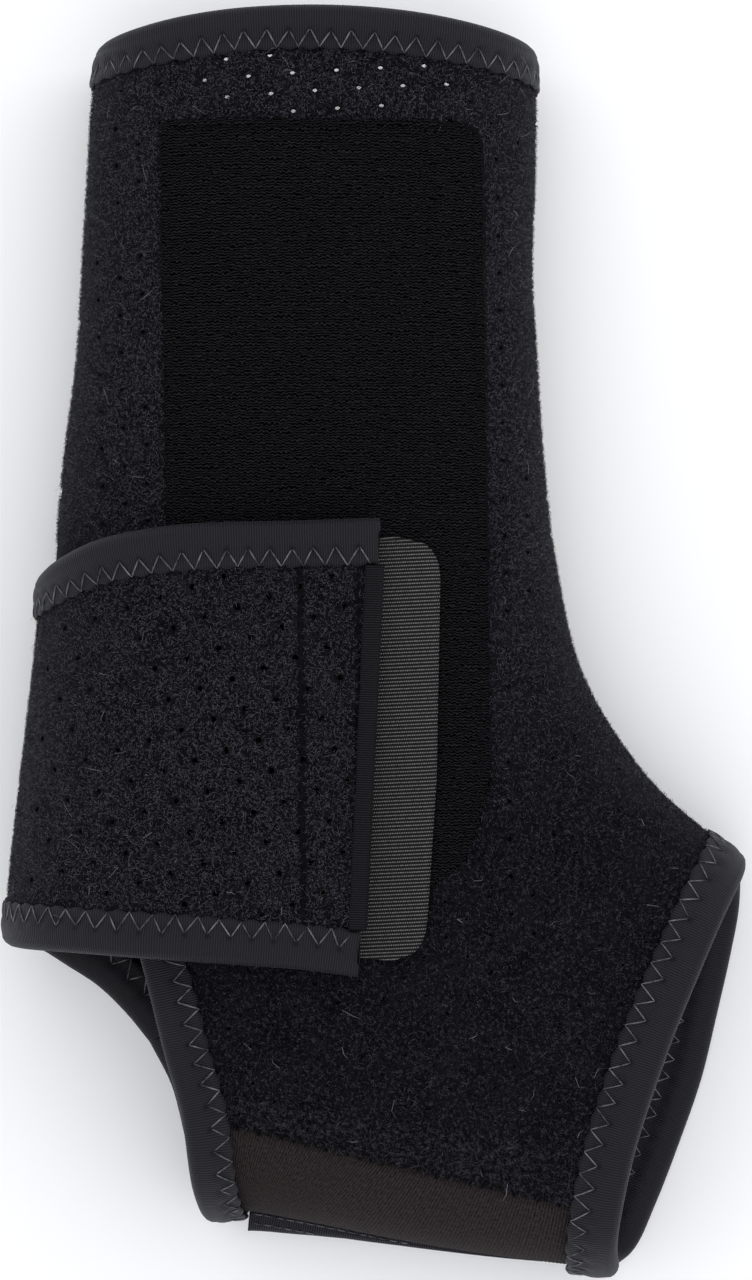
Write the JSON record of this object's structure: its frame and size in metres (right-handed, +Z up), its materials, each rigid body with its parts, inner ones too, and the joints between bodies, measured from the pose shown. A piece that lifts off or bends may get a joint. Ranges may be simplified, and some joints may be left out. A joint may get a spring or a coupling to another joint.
{
  "type": "ankle brace",
  "caption": "Pull-on ankle brace of perforated foam fabric with a wide closing strap, lying empty on its side.",
  "frame": {"origin": "on the surface the brace lies on, under the middle of its bounding box", "axes": "+X towards the toes, +Y towards the leg opening, +Z up from the surface, out of the near side"},
  "size_m": [0.1535, 0.2578, 0.05],
  "materials": {
    "foam": "brushed pile on perforated foam, matt",
    "tape": "smooth stretch binding with zigzag stitches",
    "loop_knit": "black loop knit, matt",
    "hook_weave": "grey ribbed woven hook tape",
    "elastic": "brown ribbed elastic"
  },
  "bodies": {
    "root": {"outer_panel": "foam", "inner_panel": "foam", "wrap_strap": "foam", "sole_insert": "elastic", "sole_hem": "tape", "loop_patch": "loop_knit", "hook_tab": "hook_weave", "top_binding": "tape", "toe_binding": "tape", "heel_binding": "tape", "strap_top_binding": "tape", "strap_foot_binding": "tape", "strap_hem": "tape"}
  },
  "joints": []
}
